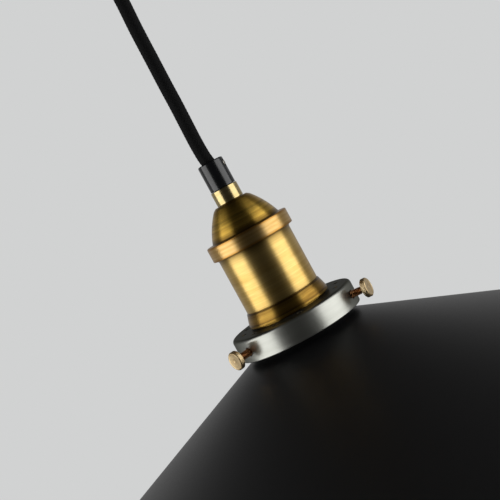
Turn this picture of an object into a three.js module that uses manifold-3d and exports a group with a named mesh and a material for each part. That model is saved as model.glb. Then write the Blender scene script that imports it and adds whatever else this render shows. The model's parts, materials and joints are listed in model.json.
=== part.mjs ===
// A pendant ceiling light: canopy and bracket, braided flex, brass lampholder, screw-fixed metal shade.
// Millimetres, +Z up. The origin is the centre of the bracket's top face, which lies on the ceiling.
import * as THREE from 'three';
import { mergeVertices } from 'three/addons/utils/BufferGeometryUtils.js';
import Module from 'manifold-3d';

const wasm = await Module();
wasm.setup();

// ---- driving dimensions ----
const clearance = 0.3; // between pieces that touch
const fineSides = 48;
const roundSides = 24;
const smallSides = 12;

const sheet = 1; // pressed steel of the canopy and the shade
const canopyRadius = 50;
const canopyDepth = 30;
const bracketLength = 93;
const bracketWidth = 16;
const bracketThick = 1.5;
const bracketEar = 15;
const canopyScrewDepth = 9;
const slotAt = 27;
const slotLength = 11;
const slotWidth = 5;
const earthScrewAt = 14.5;
const screwShank = 1.9; // radius of the M4 screws
const blockScrewShank = 1.2;
const blockAt = 4.5; // centre of the terminal block along the bracket
const poleAt = 4.5; // from the block's centre to each pole
const sleeveRadius = 2.3;
const sleeveDepth = 8; // below the ceiling
const clampAt = 5; // from the block's centre to each clamping screw
const clampRadius = 1.6;

const gripRadius = 6.75;
const gripHeight = 14.1;
const gripMouth = 4.5; // bore radius where the flex goes in
const grubRadius = 1.45;
const grubDepth = 3.5; // below the grip's mouth
const lampGripTurn = 20; // degrees the lamp's grub screw is turned from +X towards the front
const flexRadius = 3.6;
const flexLength = 118; // between the two grips
const nippleRadius = 4.9;
const nippleBore = 4;
const nippleInGrip = 8.2;
const nutHeight = 3.5;

const collarRadius = 7.1;
const collarHeight = 7.3;
const domeTopRadius = 8.7;
const domeHeight = 15.5;
const brassSheet = 0.9;
const ringRadius = 22.25;
const ringHeight = 7.7;
const shellRadius = 19.8;
const shellHeight = 30.8;
const skirtRadius = 22;
const skirtHeight = 7.1;

const fitterRadius = 33.35;
const fitterHeight = 12;
const fitterWall = 1.5;
const ventCount = 12;
const ventCircle = 26.5;
const ventRadius = 1.35;
const ventPhase = 7.5; // degrees from the front to the first hole
const screwPhase = 5; // degrees from the front to midway between the two near thumb screws
const studRadius = 1.9;
const studLength = 12.6;
const studDepth = 6.3; // below the fitter's top face
const headRadius = 4.9;
const headThick = 2.9;
const studTips = [27.4, 27.2, 27.3]; // where each thumb screw's tip stands at rest

const neckRadius = 26.9;
const lipRadius = 29.3;
const shadeRadius = 180;
const shadeSlope = 23.4; // degrees below level
const neckFillet = 5;
const rimBend = 5;
const rimDrop = 5;
const beadRadius = 1.6;

const capRadius = 13.25; // E27 bulb cap
const capLength = 25;
const globeRadius = 30;
const bulbLength = 104;

// Offsets across the flex, [x, y, share of its length from the top]: a new cord hangs in slight waves.
const flexWaves = [
  [0, 0, 0], [0, 0, 0.05], [0.3, 0.2, 0.13], [0.2, 0.5, 0.25], [-0.4, 0.6, 0.37], [-0.7, 0.3, 0.53],
  [-0.9, -0.2, 0.63], [-0.95, -0.5, 0.72], [-1.15, -0.5, 0.8], [-1.4, -0.2, 0.89],
  [-1.25, 0, 0.96], [-0.7, 0, 1],
];

// ---- heights ----
const gripBottom = -canopyDepth - clearance - gripHeight; // mouth of the ceiling grip
const flexTop = gripBottom - clearance;
const lampTop = flexTop - flexLength - clearance; // mouth of the lamp grip

// Everything from here on is measured from the lamp grip's mouth.
const collarTop = -gripHeight - clearance;
const domeTop = collarTop - collarHeight - clearance;
const domeLow = domeTop - domeHeight;
const ringTop = domeLow - 0.2;
const ringLow = ringTop - ringHeight;
const shellLow = ringLow - shellHeight;
const skirtLow = shellLow - skirtHeight;
const fitterTop = skirtLow - 0.7;
const fitterLow = fitterTop - fitterHeight;
const capTop = fitterTop + 17; // shoulder of the bulb's cap
const capLow = capTop - capLength;
const socketTop = capTop + 14;
const socketLow = fitterTop - 9.3;

const rad = THREE.MathUtils.degToRad;

// ---- helpers ----
function closeLoop(profile) {
  const onAxis = profile[0][0] === 0 && profile[profile.length - 1][0] === 0;
  return onAxis ? profile : [...profile, profile[0]];
}

// A solid turned about Z from [radius, height] points that run up the outside.
function turned(profile, sides = roundSides) {
  const points = closeLoop(profile).map(([r, z]) => new THREE.Vector2(r, z));
  return new THREE.LatheGeometry(points, sides).rotateX(Math.PI / 2);
}

// Points of an arc in [radius, height], from one angle to another.
function arc(centreR, centreZ, radius, fromDeg, toDeg, steps) {
  return Array.from({ length: steps + 1 }, (_, i) => {
    const a = rad(fromDeg + ((toDeg - fromDeg) * i) / steps);
    return [centreR + radius * Math.cos(a), centreZ + radius * Math.sin(a)];
  });
}

function tube(outer, inner, low, high, sides = roundSides) {
  return turned([[outer, low], [outer, high], [inner, high], [inner, low]], sides);
}

function rod(radius, low, high, sides = smallSides) {
  return turned([[0, low], [radius, low], [radius, high], [0, high]], sides);
}

function block(sizeX, sizeY, sizeZ, x, y, z) {
  return new THREE.BoxGeometry(sizeX, sizeY, sizeZ).translate(x, y, z);
}

// A rod along X or Y, centred on a point.
function crossRod(radius, length, direction, x, y, z) {
  const geometry = rod(radius, -length / 2, length / 2);
  if (direction === 'x') geometry.rotateY(Math.PI / 2);
  if (direction === 'y') geometry.rotateX(Math.PI / 2);
  return geometry.translate(x, y, z);
}

// A round wire or flex through points.
function wire(points, radius, steps, sides = 6) {
  const outline = new THREE.Shape();
  for (let i = 0; i < sides; i += 1) {
    const a = (2 * Math.PI * i) / sides;
    outline[i === 0 ? 'moveTo' : 'lineTo'](radius * Math.cos(a), radius * Math.sin(a));
  }
  const vectors = points.map((p) => new THREE.Vector3(...p));
  const path = new THREE.CatmullRomCurve3(vectors);
  return new THREE.ExtrudeGeometry(outline, { extrudePath: path, steps });
}

function toSolid(geometry) {
  const bare = geometry.clone();
  bare.deleteAttribute('normal');
  bare.deleteAttribute('uv');
  const merged = mergeVertices(bare, 1e-4);
  const index = merged.index.array;
  const faces = [];
  for (let i = 0; i < index.length; i += 3) {
    const [a, b, c] = [index[i], index[i + 1], index[i + 2]];
    if (a !== b && b !== c && a !== c) faces.push(a, b, c);
  }
  const vertProperties = merged.attributes.position.array;
  return new wasm.Manifold(new wasm.Mesh({ numProp: 3, vertProperties, triVerts: new Uint32Array(faces) }));
}

function toGeometry(solid) {
  const mesh = solid.getMesh();
  const geometry = new THREE.BufferGeometry();
  geometry.setAttribute('position', new THREE.BufferAttribute(new Float32Array(mesh.vertProperties), 3));
  geometry.setIndex(new THREE.BufferAttribute(new Uint32Array(mesh.triVerts), 1));
  geometry.computeVertexNormals();
  return geometry;
}

function cut(geometry, ...tools) {
  return toGeometry(tools.reduce((solid, tool) => solid.subtract(toSolid(tool)), toSolid(geometry)));
}

// A hexagonal nut with a round hole, from low to high.
function hexNut(acrossFlats, hole, low, high) {
  const corner = acrossFlats / Math.sqrt(3);
  return cut(rod(corner, low, high, 6), rod(hole, low - 1, high + 1, roundSides));
}

// A slotted screw with its head on top: the head's underside is at z = 0.
function slottedScrew(head, headHeight, shank, length, slot = 0.8) {
  const body = turned([
    [0, -length], [shank, -length], [shank, 0], [head, 0],
    [head, headHeight * 0.6], [head * 0.7, headHeight], [0, headHeight],
  ], smallSides);
  return cut(body, block(head * 3, slot, headHeight, 0, 0, headHeight));
}

const finishes = {
  zincSteel: [0xb9bcc0, 0.35, 1],
  blackMetal: [0x17171a, 0.45, 0.4],
  blackGrip: [0x1c1d20, 0.4, 0.2],
  braid: [0x0d0d0e, 0.9, 0],
  antiqueBrass: [0x9a7a34, 0.35, 1],
  paleBrass: [0xc9a563, 0.25, 1],
  ringBrass: [0xb08643, 0.32, 1],
  pewter: [0x8d8d88, 0.35, 1],
  screwBrass: [0xc8a273, 0.3, 1],
  ceramic: [0xe9e6df, 0.4, 0],
  nylon: [0xeeeeea, 0.5, 0],
  nickel: [0xc8c4ba, 0.3, 1],
  glass: [0xf4f1e6, 0.08, 0],
  blackGlass: [0x101014, 0.2, 0],
  tungsten: [0x77706a, 0.4, 1],
  liveCore: [0x7a4a2a, 0.5, 0],
  neutralCore: [0x2f5fa8, 0.5, 0],
  earthCore: [0x5f8f3a, 0.5, 0],
};

function piece(name, finish, geometry) {
  const [color, roughness, metalness] = finishes[finish];
  const mesh = new THREE.Mesh(geometry, new THREE.MeshStandardMaterial({ color, roughness, metalness }));
  mesh.name = name;
  return mesh;
}

// ---- ceiling end ----
function ceilingBracket() {
  const half = bracketLength / 2;
  const inner = half - bracketThick;
  const outline = new THREE.Shape([
    [-half, 0], [-half, -bracketEar], [-inner, -bracketEar], [-inner, -bracketThick],
    [inner, -bracketThick], [inner, -bracketEar], [half, -bracketEar], [half, 0],
  ].map(([x, z]) => new THREE.Vector2(x, z)));
  const strip = new THREE.ExtrudeGeometry(outline, { depth: bracketWidth, bevelEnabled: false });
  strip.rotateX(Math.PI / 2).translate(0, bracketWidth / 2, 0);
  const slots = [-1, 1].map((side) => block(slotLength, slotWidth, 10, side * slotAt, 0, 0));
  const hole = screwShank + clearance;
  const sideHoles = crossRod(hole, bracketLength + 10, 'x', 0, 0, -canopyScrewDepth);
  const earthHole = rod(hole, -5, 5).translate(-earthScrewAt, 0, 0);
  const blockHole = rod(blockScrewShank + clearance, -5, 5).translate(blockAt, 0, 0);
  return cut(strip, ...slots, sideHoles, earthHole, blockHole);
}

function ceilingCanopy() {
  const floor = -canopyDepth;
  const fillet = 4;
  const hole = nippleRadius + 0.4;
  const top = -0.4;
  const cup = turned([
    [hole, floor],
    ...arc(canopyRadius - fillet, floor + fillet, fillet, -90, 0, 3),
    [canopyRadius, top],
    [canopyRadius - sheet, top],
    ...arc(canopyRadius - fillet, floor + fillet, fillet - sheet, 0, -90, 3),
    [hole, floor + sheet],
  ], fineSides);
  return cut(cup, crossRod(screwShank + 0.4, canopyRadius * 3, 'x', 0, 0, -canopyScrewDepth));
}

// The grip that holds the flex. Its mouth is at z = 0 and it stands on a threaded nipple below.
function cordGrip() {
  const edge = 1.4;
  const threadRadius = nippleRadius + clearance;
  const threadTop = -5.5;
  const sleeve = turned([
    [threadRadius, -gripHeight], [gripRadius, -gripHeight],
    ...arc(gripRadius - edge, -edge, edge, 0, 90, 2),
    [gripMouth, 0], [gripMouth, threadTop], [threadRadius, threadTop],
  ]);
  return cut(sleeve, crossRod(grubRadius + clearance, gripRadius, 'x', gripRadius, 0, -grubDepth));
}

// The grub screw lies in the grip's side and presses on the flex.
function gripScrew() {
  const length = 2.2;
  const chamfer = 0.3;
  const screw = turned([
    [0, 0], [grubRadius, 0], [grubRadius, length - chamfer], [grubRadius - chamfer, length], [0, length],
  ], smallSides);
  return cut(screw, block(4, 0.5, 1.2, 0, 0, length)).rotateY(Math.PI / 2);
}

function gripGroup(gripName, screwName) {
  const group = new THREE.Group();
  const grub = piece(screwName, 'nickel', gripScrew());
  grub.position.set(gripRadius - 2, 0, -grubDepth);
  group.add(piece(gripName, 'blackGrip', cordGrip()), grub);
  return group;
}

function terminalBlock() {
  const body = block(16, 18, 11.5, 0, 0, -7.55);
  const poles = [-poleAt, poleAt].flatMap((y) => [
    crossRod(sleeveRadius + clearance, 20, 'x', 0, y, -sleeveDepth),
    ...[-clampAt, clampAt].map((x) => (
      rod(clampRadius + clearance, -sleeveDepth, 0).translate(x, y, -sleeveDepth)
    )),
  ]);
  return cut(body, ...poles, rod(blockScrewShank + clearance, -20, 5));
}

// Two brass sleeves in a nylon block, each with two clamping screws, held by one screw to the bracket.
function terminalGroup() {
  const group = new THREE.Group();
  group.position.x = blockAt;
  group.add(piece('terminal_block', 'nylon', terminalBlock()));
  [-poleAt, poleAt].forEach((y, pole) => {
    const bore = crossRod(1.3, 16, 'x', 0, y, -sleeveDepth);
    const sleeve = cut(crossRod(sleeveRadius, 14, 'x', 0, y, -sleeveDepth), bore);
    group.add(piece(`terminal_sleeve_${pole + 1}`, 'screwBrass', sleeve));
    [-clampAt, clampAt].forEach((x, end) => {
      const screw = cut(rod(clampRadius, 0, 2.4), block(4, 0.5, 1, 0, 0, 2.4));
      const mesh = piece(`terminal_screw_${2 * pole + end + 1}`, 'zincSteel', screw);
      mesh.position.set(x, y, -10.6);
      mesh.rotation.x = Math.PI;
      group.add(mesh);
    });
  });
  const screw = slottedScrew(2.6, 1.6, blockScrewShank, 13.2, 0.6);
  const blockScrew = piece('terminal_block_screw', 'zincSteel', screw);
  blockScrew.position.set(0, 0, -13.6);
  blockScrew.rotation.x = Math.PI;
  group.add(blockScrew);
  return group;
}

function ceilingEnd() {
  const group = new THREE.Group();
  group.add(piece('ceiling_bracket', 'zincSteel', ceilingBracket()));
  group.add(piece('ceiling_canopy', 'blackMetal', ceilingCanopy()));
  [-1, 1].forEach((side, i) => {
    const screw = piece(`canopy_screw_${i + 1}`, 'blackMetal', slottedScrew(3.6, 2.2, screwShank, 6.5));
    screw.position.set(side * (canopyRadius + clearance), 0, -canopyScrewDepth);
    screw.rotation.y = (side * Math.PI) / 2;
    group.add(screw);
  });

  const earthScrew = piece('earth_screw', 'screwBrass', slottedScrew(3.4, 2, screwShank, 2.6));
  earthScrew.position.set(-earthScrewAt, 0, -2.9);
  earthScrew.rotation.x = Math.PI;
  group.add(earthScrew);
  const ring = tube(3.4, screwShank + clearance, -2.6, -1.8);
  group.add(piece('earth_ring_terminal', 'nickel', ring.translate(-earthScrewAt, 0, 0)));

  group.add(terminalGroup());

  const nippleTop = -canopyDepth + 9;
  const nippleLow = -canopyDepth - clearance - gripHeight + nippleInGrip - 2;
  group.add(piece('canopy_nipple', 'zincSteel', tube(nippleRadius, nippleBore, nippleLow, nippleTop)));
  const nutLow = -canopyDepth + sheet + clearance;
  const nut = hexNut(14, nippleRadius + clearance, nutLow, nutLow + nutHeight);
  group.add(piece('canopy_nipple_nut', 'zincSteel', nut));

  const grip = gripGroup('ceiling_cord_grip', 'ceiling_grip_screw');
  grip.position.z = gripBottom;
  grip.rotation.x = Math.PI;
  group.add(grip);

  group.add(piece('flex_ceiling_end', 'braid', rod(flexRadius, gripBottom + 2.4, nippleTop + 1.5, 10)));
  const start = nippleTop + 2.3;
  const spread = 1.5;
  const cores = [
    ['core_live_top', 'liveCore', [[spread, -1, start], [4.5, -2.5, start + 1.4], [12, -4, start + 2],
      [17, -poleAt, start + 6], [16.5, -poleAt, -8.6], [blockAt + 7.5, -poleAt, -8]]],
    ['core_neutral_top', 'neutralCore', [[spread, 1, start], [4.5, 2.5, start + 1.4], [12, 4, start + 2],
      [17, poleAt, start + 6], [16.5, poleAt, -8.6], [blockAt + 7.5, poleAt, -8]]],
    ['core_earth_top', 'earthCore', [[-spread, 0, start], [-5, 0.4, start + 2.2], [-11, 0.6, start + 3],
      [-19.5, 0.5, start + 8], [-21.5, 0, -5], [-18.8, 0, -2.3]]],
  ];
  cores.forEach(([name, finish, route]) => group.add(piece(name, finish, wire(route, 0.7, 10))));
  return group;
}

// ---- flex ----
function flex() {
  const route = flexWaves.map(([x, y, share]) => [x, y, flexTop - share * flexLength]);
  return piece('flex', 'braid', wire(route, flexRadius, 9, 10));
}

// ---- lampholder ----
// The dome is an arc that swells from the shoulder down to the ring.
const domeArcRadius = 45.8;
const domeArcR = -24.4;
const domeArcZ = domeTop - 31.05;

function domeCap() {
  const wallAt = (radius, z) => domeArcR + Math.sqrt(radius * radius - (z - domeArcZ) ** 2);
  const wall = (radius, fromZ, toZ) => Array.from({ length: 6 }, (_, i) => {
    const z = fromZ + ((toZ - fromZ) * i) / 5;
    return [wallAt(radius, z), z];
  });
  const flange = domeLow - 2.4;
  return turned([
    [20.6, flange], [20.6, flange + 0.9], [wallAt(domeArcRadius, domeLow), flange + 0.9],
    ...wall(domeArcRadius, domeLow, domeTop - 0.8),
    [domeTopRadius + 0.6, domeTop - 0.15], [domeTopRadius, domeTop],
    [nippleRadius + clearance, domeTop], [nippleRadius + clearance, domeTop - brassSheet],
    [domeTopRadius - 0.3, domeTop - brassSheet],
    ...wall(domeArcRadius - brassSheet, domeTop - 1.9, domeLow), [17.7, flange],
  ]);
}

function ringNut() {
  const edge = 0.6;
  return turned([
    [21, ringLow], [ringRadius - edge, ringLow], [ringRadius, ringLow + edge],
    [ringRadius, ringTop - edge], [ringRadius - edge, ringTop], [19.15, ringTop],
    [19.15, ringTop - 1], [21, ringTop - 1],
  ]);
}

function holderShell() {
  const threadTop = domeLow - 2.8;
  return turned([
    [18.9, fitterTop - 9], [19.6, fitterTop - 9], [19.6, skirtLow + 0.5],
    [skirtRadius - 1.4, skirtLow], [skirtRadius - 0.5, skirtLow], [skirtRadius, skirtLow + 0.6],
    [skirtRadius - 0.2, skirtLow + 2], [skirtRadius - 1, skirtLow + 4.2], [shellRadius + 0.1, shellLow],
    [shellRadius - 0.1, shellLow + 0.2], [shellRadius, shellLow + 0.5], [shellRadius, ringLow - 0.3],
    [20.6, ringLow + 0.2], [20.6, threadTop], [18.9, threadTop],
  ]);
}

// ---- E27 socket inside the shell ----
const terminalSpots = [[-9.5, 3.5], [9.5, 3.5], [0, -9.5]];

function socketBody() {
  const outer = 18.4;
  const bore = 14.35;
  const mouth = 15;
  const contactRoom = 9;
  const wireHole = 3;
  const body = turned([
    [outer, socketLow], [outer, socketTop], [wireHole, socketTop], [wireHole, capTop + 4],
    [contactRoom, capTop + 4], [contactRoom, capTop - 0.5], [bore, capTop - 0.5],
    [bore, socketLow + 4], [mouth, socketLow + 4], [mouth, socketLow],
  ]);
  return cut(body, ...terminalSpots.map(([x, y]) => rod(1.5, -6, 1).translate(x, y, socketTop)));
}

// A sprung tongue, fixed by its riser, that bears on the tip of the bulb.
function centreContact() {
  const low = capTop + 0.4;
  const outline = new THREE.Shape([
    [-1.5, low], [2.5, low], [7.8, low + 1.6], [7.8, low + 2.1], [2.4, low + 0.5], [-1.5, low + 0.5],
  ].map(([x, z]) => new THREE.Vector2(x, z)));
  const strip = new THREE.ExtrudeGeometry(outline, { depth: 5, bevelEnabled: false });
  return strip.rotateX(Math.PI / 2).translate(0, 2.5, 0);
}

function lampholder() {
  const group = new THREE.Group();
  const grip = gripGroup('lamp_cord_grip', 'lamp_grip_screw');
  grip.rotation.z = -rad(lampGripTurn);
  group.add(grip);
  const collar = turned([
    [nippleRadius + clearance, collarTop - collarHeight], [collarRadius, collarTop - collarHeight],
    [collarRadius, collarTop - 0.3], [collarRadius - 0.3, collarTop], [nippleRadius + clearance, collarTop],
  ]);
  group.add(piece('collar', 'paleBrass', collar));
  const nippleLow = domeTop - 7;
  const nipple = tube(nippleRadius, nippleBore, nippleLow, nippleInGrip - gripHeight);
  group.add(piece('holder_nipple', 'zincSteel', nipple));
  const nutTop = domeTop - brassSheet - clearance;
  const nut = hexNut(13, nippleRadius + clearance, nutTop - nutHeight, nutTop);
  group.add(piece('holder_nipple_nut', 'zincSteel', nut));
  group.add(piece('flex_lamp_end', 'braid', rod(flexRadius, nippleLow - 1.5, -1.9, 10)));
  group.add(piece('dome_cap', 'antiqueBrass', domeCap()));
  group.add(piece('ring_nut', 'ringBrass', ringNut()));
  group.add(piece('holder_shell', 'antiqueBrass', holderShell()));

  group.add(piece('socket_body', 'ceramic', socketBody()));
  group.add(piece('socket_screw_shell', 'screwBrass', tube(14.05, 13.6, capTop - 22, capTop - 1)));
  group.add(piece('centre_contact', 'screwBrass', centreContact()));
  const cores = ['live', 'neutral', 'earth'];
  terminalSpots.forEach(([x, y], i) => {
    const screw = piece(`${cores[i]}_terminal_screw`, 'screwBrass', slottedScrew(2.8, 1.8, 1.2, 4.5, 0.6));
    screw.position.set(x, y, socketTop + clearance);
    group.add(screw);
    const high = nippleLow - 1.9;
    const reach = Math.hypot(x, y);
    const [ux, uy] = [x / reach, y / reach];
    const route = [
      [1.6 * ux, 1.6 * uy, high], [2.4 * ux, 2.4 * uy, high - 4], [4.2 * ux, 4.2 * uy, high - 10],
      [5 * ux, 5 * uy, socketTop + 3.5], [(reach - 3.8) * ux, (reach - 3.8) * uy, socketTop + 1.2],
    ];
    group.add(piece(`core_${cores[i]}_lamp`, `${cores[i]}Core`, wire(route, 0.7, 9)));
  });
  return group;
}

// ---- fitter, its ring nut and the thumb screws ----
const screwAngles = [-60, 60, 180].map((turn) => screwPhase + turn);

function shadeFitter() {
  const edge = 1.8;
  const inside = fitterRadius - fitterWall;
  const cup = turned([
    [inside, fitterLow], [fitterRadius, fitterLow],
    ...arc(fitterRadius - edge, fitterTop - edge, edge, 0, 90, 2),
    [20, fitterTop], [20, fitterTop - fitterWall], [inside, fitterTop - fitterWall],
  ], fineSides);
  const vents = Array.from({ length: ventCount }, (_, i) => {
    const turn = rad(ventPhase + (360 * i) / ventCount);
    return rod(ventRadius, -4, 4, 8).translate(0, -ventCircle, fitterTop).rotateZ(turn);
  });
  const tapped = screwAngles.map((angle) => (
    crossRod(studRadius + clearance, 8, 'y', 0, -fitterRadius, fitterTop - studDepth).rotateZ(rad(angle))
  ));
  return cut(cup, ...vents, ...tapped);
}

function thumbHead() {
  const chamfer = 0.5;
  return turned([
    [0, 0], [headRadius - chamfer, 0], [headRadius, chamfer],
    [headRadius, headThick - chamfer], [headRadius - chamfer, headThick], [0, headThick],
  ], 28);
}

function fitterGroup() {
  const group = new THREE.Group();
  group.add(piece('shade_fitter', 'pewter', shadeFitter()));
  const nutTop = fitterTop - fitterWall - clearance;
  const nut = tube(24.6, 19.9, nutTop - 4, nutTop);
  const notches = Array.from({ length: 8 }, (_, i) => (
    block(3, 4, 10, 0, 25.6, nutTop - 2).rotateZ((i * Math.PI) / 4)
  ));
  group.add(piece('fitter_ring_nut', 'zincSteel', cut(nut, ...notches)));
  screwAngles.forEach((angle, i) => {
    const screw = new THREE.Group();
    screw.rotation.z = rad(angle);
    const bearing = new THREE.Group();
    bearing.position.set(0, -studTips[i], fitterTop - studDepth);
    bearing.rotation.x = Math.PI / 2;
    bearing.add(piece(`thumb_screw_stud_${i + 1}`, 'screwBrass', rod(studRadius, 0, studLength)));
    const head = piece(`thumb_screw_head_${i + 1}`, 'screwBrass', thumbHead());
    head.position.z = studLength + clearance;
    bearing.add(head);
    screw.add(bearing);
    group.add(screw);
  });
  return group;
}

// ---- shade ----
function shade() {
  const slope = rad(shadeSlope);
  const lipTop = fitterTop - fitterWall - 1.4;
  const filletZ = fitterLow + 1.5; // centre of the neck's fillet
  const filletR = neckRadius + neckFillet;
  const coneStartZ = filletZ - neckFillet * Math.cos(slope);
  const coneStartR = filletR - neckFillet * Math.sin(slope);
  const bendR = shadeRadius - rimBend;
  const coneEndR = bendR + rimBend * Math.sin(slope);
  const coneEndZ = coneStartZ - (coneEndR - coneStartR) * Math.tan(slope);
  const bendZ = coneEndZ - rimBend * Math.cos(slope);
  const rimZ = bendZ - rimDrop;
  const beadR = shadeRadius - beadRadius;
  return turned([
    [neckRadius - sheet, lipTop],
    ...arc(filletR, filletZ, neckFillet + sheet, 180, 270 - shadeSlope, 3),
    ...arc(bendR, bendZ, rimBend - sheet, 90 - shadeSlope, 0, 2),
    ...arc(beadR, rimZ, beadRadius, 135, 360, 4),
    ...arc(bendR, bendZ, rimBend, 0, 90 - shadeSlope, 2),
    ...arc(filletR, filletZ, neckFillet, 270 - shadeSlope, 180, 3),
    [neckRadius, lipTop - 1.2], [lipRadius, lipTop - 1.2], [lipRadius, lipTop],
  ], fineSides);
}

// ---- bulb ----
function bulbGroup() {
  const group = new THREE.Group();
  const tip = capTop - 0.2;
  const globeZ = tip - bulbLength + globeRadius;
  const neckZ = capLow - 0.3;
  const glassWall = 0.7;
  const neck = (offset) => [
    [14 - offset, neckZ - offset], [14.6 - offset, neckZ - 8], [17 - offset, neckZ - 18],
  ];
  const shoulderAngle = 44;
  group.add(piece('bulb_glass', 'glass', turned([
    ...arc(0, globeZ, globeRadius, -90, shoulderAngle, 8).map(([r, z], i) => [i === 0 ? 0 : r, z]),
    ...neck(0).reverse(),
    [12.2, neckZ], [12.2, capLow + 8], [12.2 - glassWall, capLow + 8],
    [12.2 - glassWall, neckZ - glassWall],
    ...neck(glassWall),
    ...arc(0, globeZ, globeRadius - glassWall, shoulderAngle, -90, 8)
      .map(([r, z], i) => [i === 8 ? 0 : r, z]),
  ])));
  const stemLow = capLow - 26;
  group.add(piece('bulb_stem', 'glass', turned([
    [0, stemLow], [1.6, stemLow], [1.6, capLow - 4], [5, capLow + 4], [5, capLow + 6], [0, capLow + 6],
  ])));
  const loops = 4;
  const filament = Array.from({ length: 4 * loops + 1 }, (_, i) => {
    const a = (2 * Math.PI * i) / (4 * loops + 2);
    const height = [12, 2, -8, 2][i % 4];
    return [8 * Math.cos(a), 8 * Math.sin(a), stemLow - 6 + height];
  });
  group.add(piece('bulb_filament', 'tungsten', wire(filament, 0.35, 40, 5)));
  group.add(piece('bulb_cap', 'nickel', turned([
    [12.6, capLow], [capRadius, capLow], [capRadius, tip - 5.5], [9.5, tip - 3], [7.2, tip - 3],
    [7.2, tip - 3.8], [12.6, tip - 6.5],
  ])));
  group.add(piece('bulb_insulator', 'blackGlass', turned([
    [3.2, tip - 4.2], [6.9, tip - 4.2], [6.9, tip - 2.6], [5.4, tip - 1.2], [3.2, tip - 1.2],
  ])));
  group.add(piece('bulb_tip', 'nickel', rod(2.9, tip - 3, tip)));
  return group;
}

const lamp = new THREE.Group();
lamp.position.z = lampTop;
lamp.add(lampholder(), fitterGroup(), piece('lamp_shade', 'blackMetal', shade()), bulbGroup());

const pendant = new THREE.Group();
pendant.add(ceilingEnd(), flex(), lamp);

export default pendant;
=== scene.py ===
import json
import math
import bpy
import bmesh
from mathutils import Matrix, Vector


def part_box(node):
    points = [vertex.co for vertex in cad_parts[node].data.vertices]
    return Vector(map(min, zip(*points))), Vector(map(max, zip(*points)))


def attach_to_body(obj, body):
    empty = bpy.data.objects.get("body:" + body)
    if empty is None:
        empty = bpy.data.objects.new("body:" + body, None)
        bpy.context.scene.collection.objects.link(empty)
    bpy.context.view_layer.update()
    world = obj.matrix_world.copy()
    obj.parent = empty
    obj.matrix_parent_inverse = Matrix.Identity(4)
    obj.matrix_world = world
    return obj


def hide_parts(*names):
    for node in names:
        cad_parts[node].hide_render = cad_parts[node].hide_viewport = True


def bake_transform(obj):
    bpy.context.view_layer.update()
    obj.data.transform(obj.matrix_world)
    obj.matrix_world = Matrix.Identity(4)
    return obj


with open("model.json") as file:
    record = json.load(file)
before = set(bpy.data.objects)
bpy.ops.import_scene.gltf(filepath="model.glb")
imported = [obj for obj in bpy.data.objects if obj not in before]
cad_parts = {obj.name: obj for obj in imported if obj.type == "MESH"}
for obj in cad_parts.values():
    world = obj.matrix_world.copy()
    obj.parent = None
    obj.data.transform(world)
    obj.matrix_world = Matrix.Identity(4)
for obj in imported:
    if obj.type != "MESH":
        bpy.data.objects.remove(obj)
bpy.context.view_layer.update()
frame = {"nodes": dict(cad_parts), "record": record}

mm = 0.001


def zOf(node, end):  # height of a CAD part's lowest (0) or highest (1) point, in mm
    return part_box(node)[end][2] / mm


lampMouth = zOf("lamp_cord_grip", 1)
ceilingMouth = zOf("ceiling_cord_grip", 0)

# camera: close to the lampholder, rolled, as a hand holds it
cameraView = {
    "lens": 72,
    "distance": 500,  # mm in front of the lamp's axis
    "drop": 17.6,  # mm below the mouth of the lamp's cord grip
    "pitch": 3.5,
    "yaw": -0.38,
    "roll": 28.7,
}


def makeCamera(spec):
    pitch, yaw, roll = (math.radians(spec[key]) for key in ("pitch", "yaw", "roll"))
    forward = Vector((math.sin(yaw) * math.cos(pitch), math.cos(yaw) * math.cos(pitch), -math.sin(pitch)))
    level = Vector((math.cos(yaw), -math.sin(yaw), 0))
    upright = level.cross(forward)
    across = level * math.cos(roll) - upright * math.sin(roll)
    top = level * math.sin(roll) + upright * math.cos(roll)
    turn = Matrix((across, top, -forward)).transposed().to_4x4()
    data = bpy.data.cameras.new("cameraData")
    data.lens = spec["lens"]
    data.clip_start = 0.01
    camera = bpy.data.objects.new("camera", data)
    place = Vector((0, -spec["distance"], lampMouth - spec["drop"])) * mm
    camera.matrix_world = Matrix.Translation(place) @ turn
    bpy.context.collection.objects.link(camera)
    bpy.context.scene.camera = camera


makeCamera(cameraView)
print("camera placed")


# mesh helpers, all in mm
def newPiece(name, build, turn=None):
    mesh = bpy.data.meshes.new(name)
    bmesh.ops.recalc_face_normals(build, faces=build.faces)
    for face in build.faces:
        face.smooth = True
    build.to_mesh(mesh)
    build.free()
    mesh.transform(Matrix.Scale(mm, 4))
    piece = bpy.data.objects.new(name, mesh)
    if turn is not None:
        moveTo(piece, turn)
    bpy.context.collection.objects.link(piece)
    return piece


def evenNormals(piece):  # keeps flats flat beside small fillets
    piece.modifiers.new("evenNormals", "WEIGHTED_NORMAL").keep_sharp = True
    return piece


def rounded(corners, fillet, steps=3):  # a profile with its corners turned into small curves
    closed = not (corners[0][0] == 0 and corners[-1][0] == 0)
    points = []
    count = len(corners)
    for index, corner in enumerate(corners):
        here = Vector(corner[:2])
        own = corner[2] if len(corner) > 2 else fillet
        if not closed and index in (0, count - 1):
            points.append(here)
            continue
        before = Vector(corners[index - 1][:2]) - here
        after = Vector(corners[(index + 1) % count][:2]) - here
        angle = before.angle(after)
        if own == 0 or angle > math.radians(168):
            points.append(here)
            continue
        back = min(own / math.tan(angle / 2), 0.45 * before.length, 0.45 * after.length)
        first, last = here + before.normalized() * back, here + after.normalized() * back
        for step in range(steps + 1):
            t = step / steps
            points.append(first * (1 - t) ** 2 + here * 2 * t * (1 - t) + last * t * t)
    return [(max(point[0], 0), point[1]) for point in points], closed


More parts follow.
